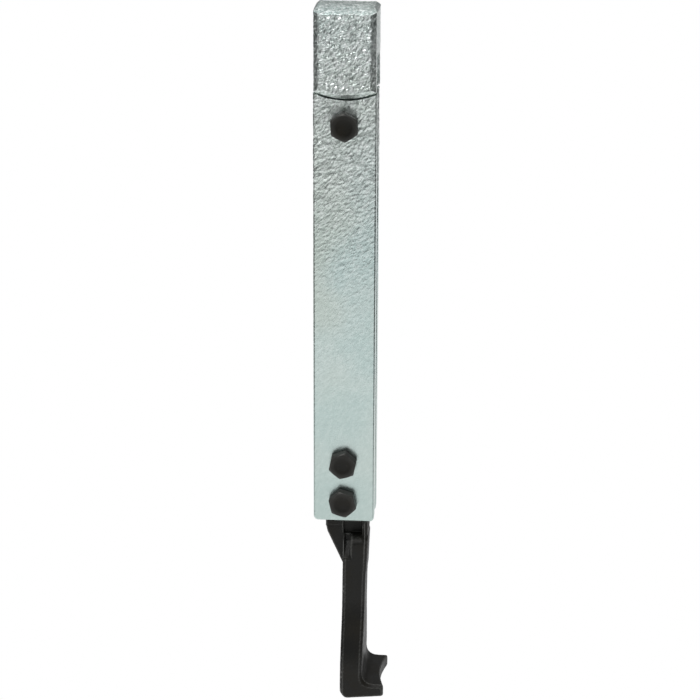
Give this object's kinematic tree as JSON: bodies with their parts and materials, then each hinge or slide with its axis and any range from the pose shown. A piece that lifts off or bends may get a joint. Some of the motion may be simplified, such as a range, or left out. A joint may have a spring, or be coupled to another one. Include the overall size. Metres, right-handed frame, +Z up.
{
  "type": "puller leg",
  "caption": "Long pull leg of a mechanical puller: a slider head with a crossbeam window, two forged cheeks that swing on it, and a slim bolted jaw with a hooked foot.",
  "frame": {"origin": "middle of the window face that bears on the crossbeam", "axes": "+Z up along the leg towards the slider head, -Y the side with the bolt heads, +X the side that the jaw's foot points to"},
  "size_m": [0.0382, 0.0428, 0.3707],
  "materials": {
    "forged_zinc": "rough forged skin under bright blue zinc plating",
    "zinc": "forged skin smoothing downwards under blue zinc plating",
    "black_jaw": "black oxide on a forged and ground jaw, satin",
    "black_oxide": "black oxide, oily satin",
    "bright_steel": "plain turned steel"
  },
  "bodies": {
    "head": {"slider_head": "forged_zinc", "plunger_body": "black_oxide", "plunger_plug": "black_oxide"},
    "plunger": {"plunger_pin": "bright_steel", "plunger_spring": "bright_steel"},
    "leg": {"front_cheek": "zinc", "rear_cheek": "zinc", "pivot_bolt": "black_oxide", "pivot_sleeve": "bright_steel", "thrust_washer_front": "bright_steel", "thrust_washer_rear": "bright_steel", "pivot_washer": "bright_steel", "pivot_lock_nut": "black_oxide", "jaw": "black_jaw", "jaw_bolt_upper": "black_oxide", "jaw_bolt_lower": "black_oxide", "spring_washer_upper": "black_oxide", "spring_washer_lower": "black_oxide", "jaw_nut_upper": "black_oxide", "jaw_nut_lower": "black_oxide"}
  },
  "joints": [
    {"name": "leg_swing", "type": "hinge", "parent": "head", "child": "leg", "pos_m": [0, 0, -0.033], "axis": [0, 1, 0], "range_deg": [-1.5, 1.5]},
    {"name": "plunger_press", "type": "slide", "parent": "head", "child": "plunger", "axis": [0, 0, 1], "range_m": [0, 0.0012], "stiffness_N_per_m": 6000, "springref_m": -0.0015, "deforming": ["plunger_spring"]}
  ]
}
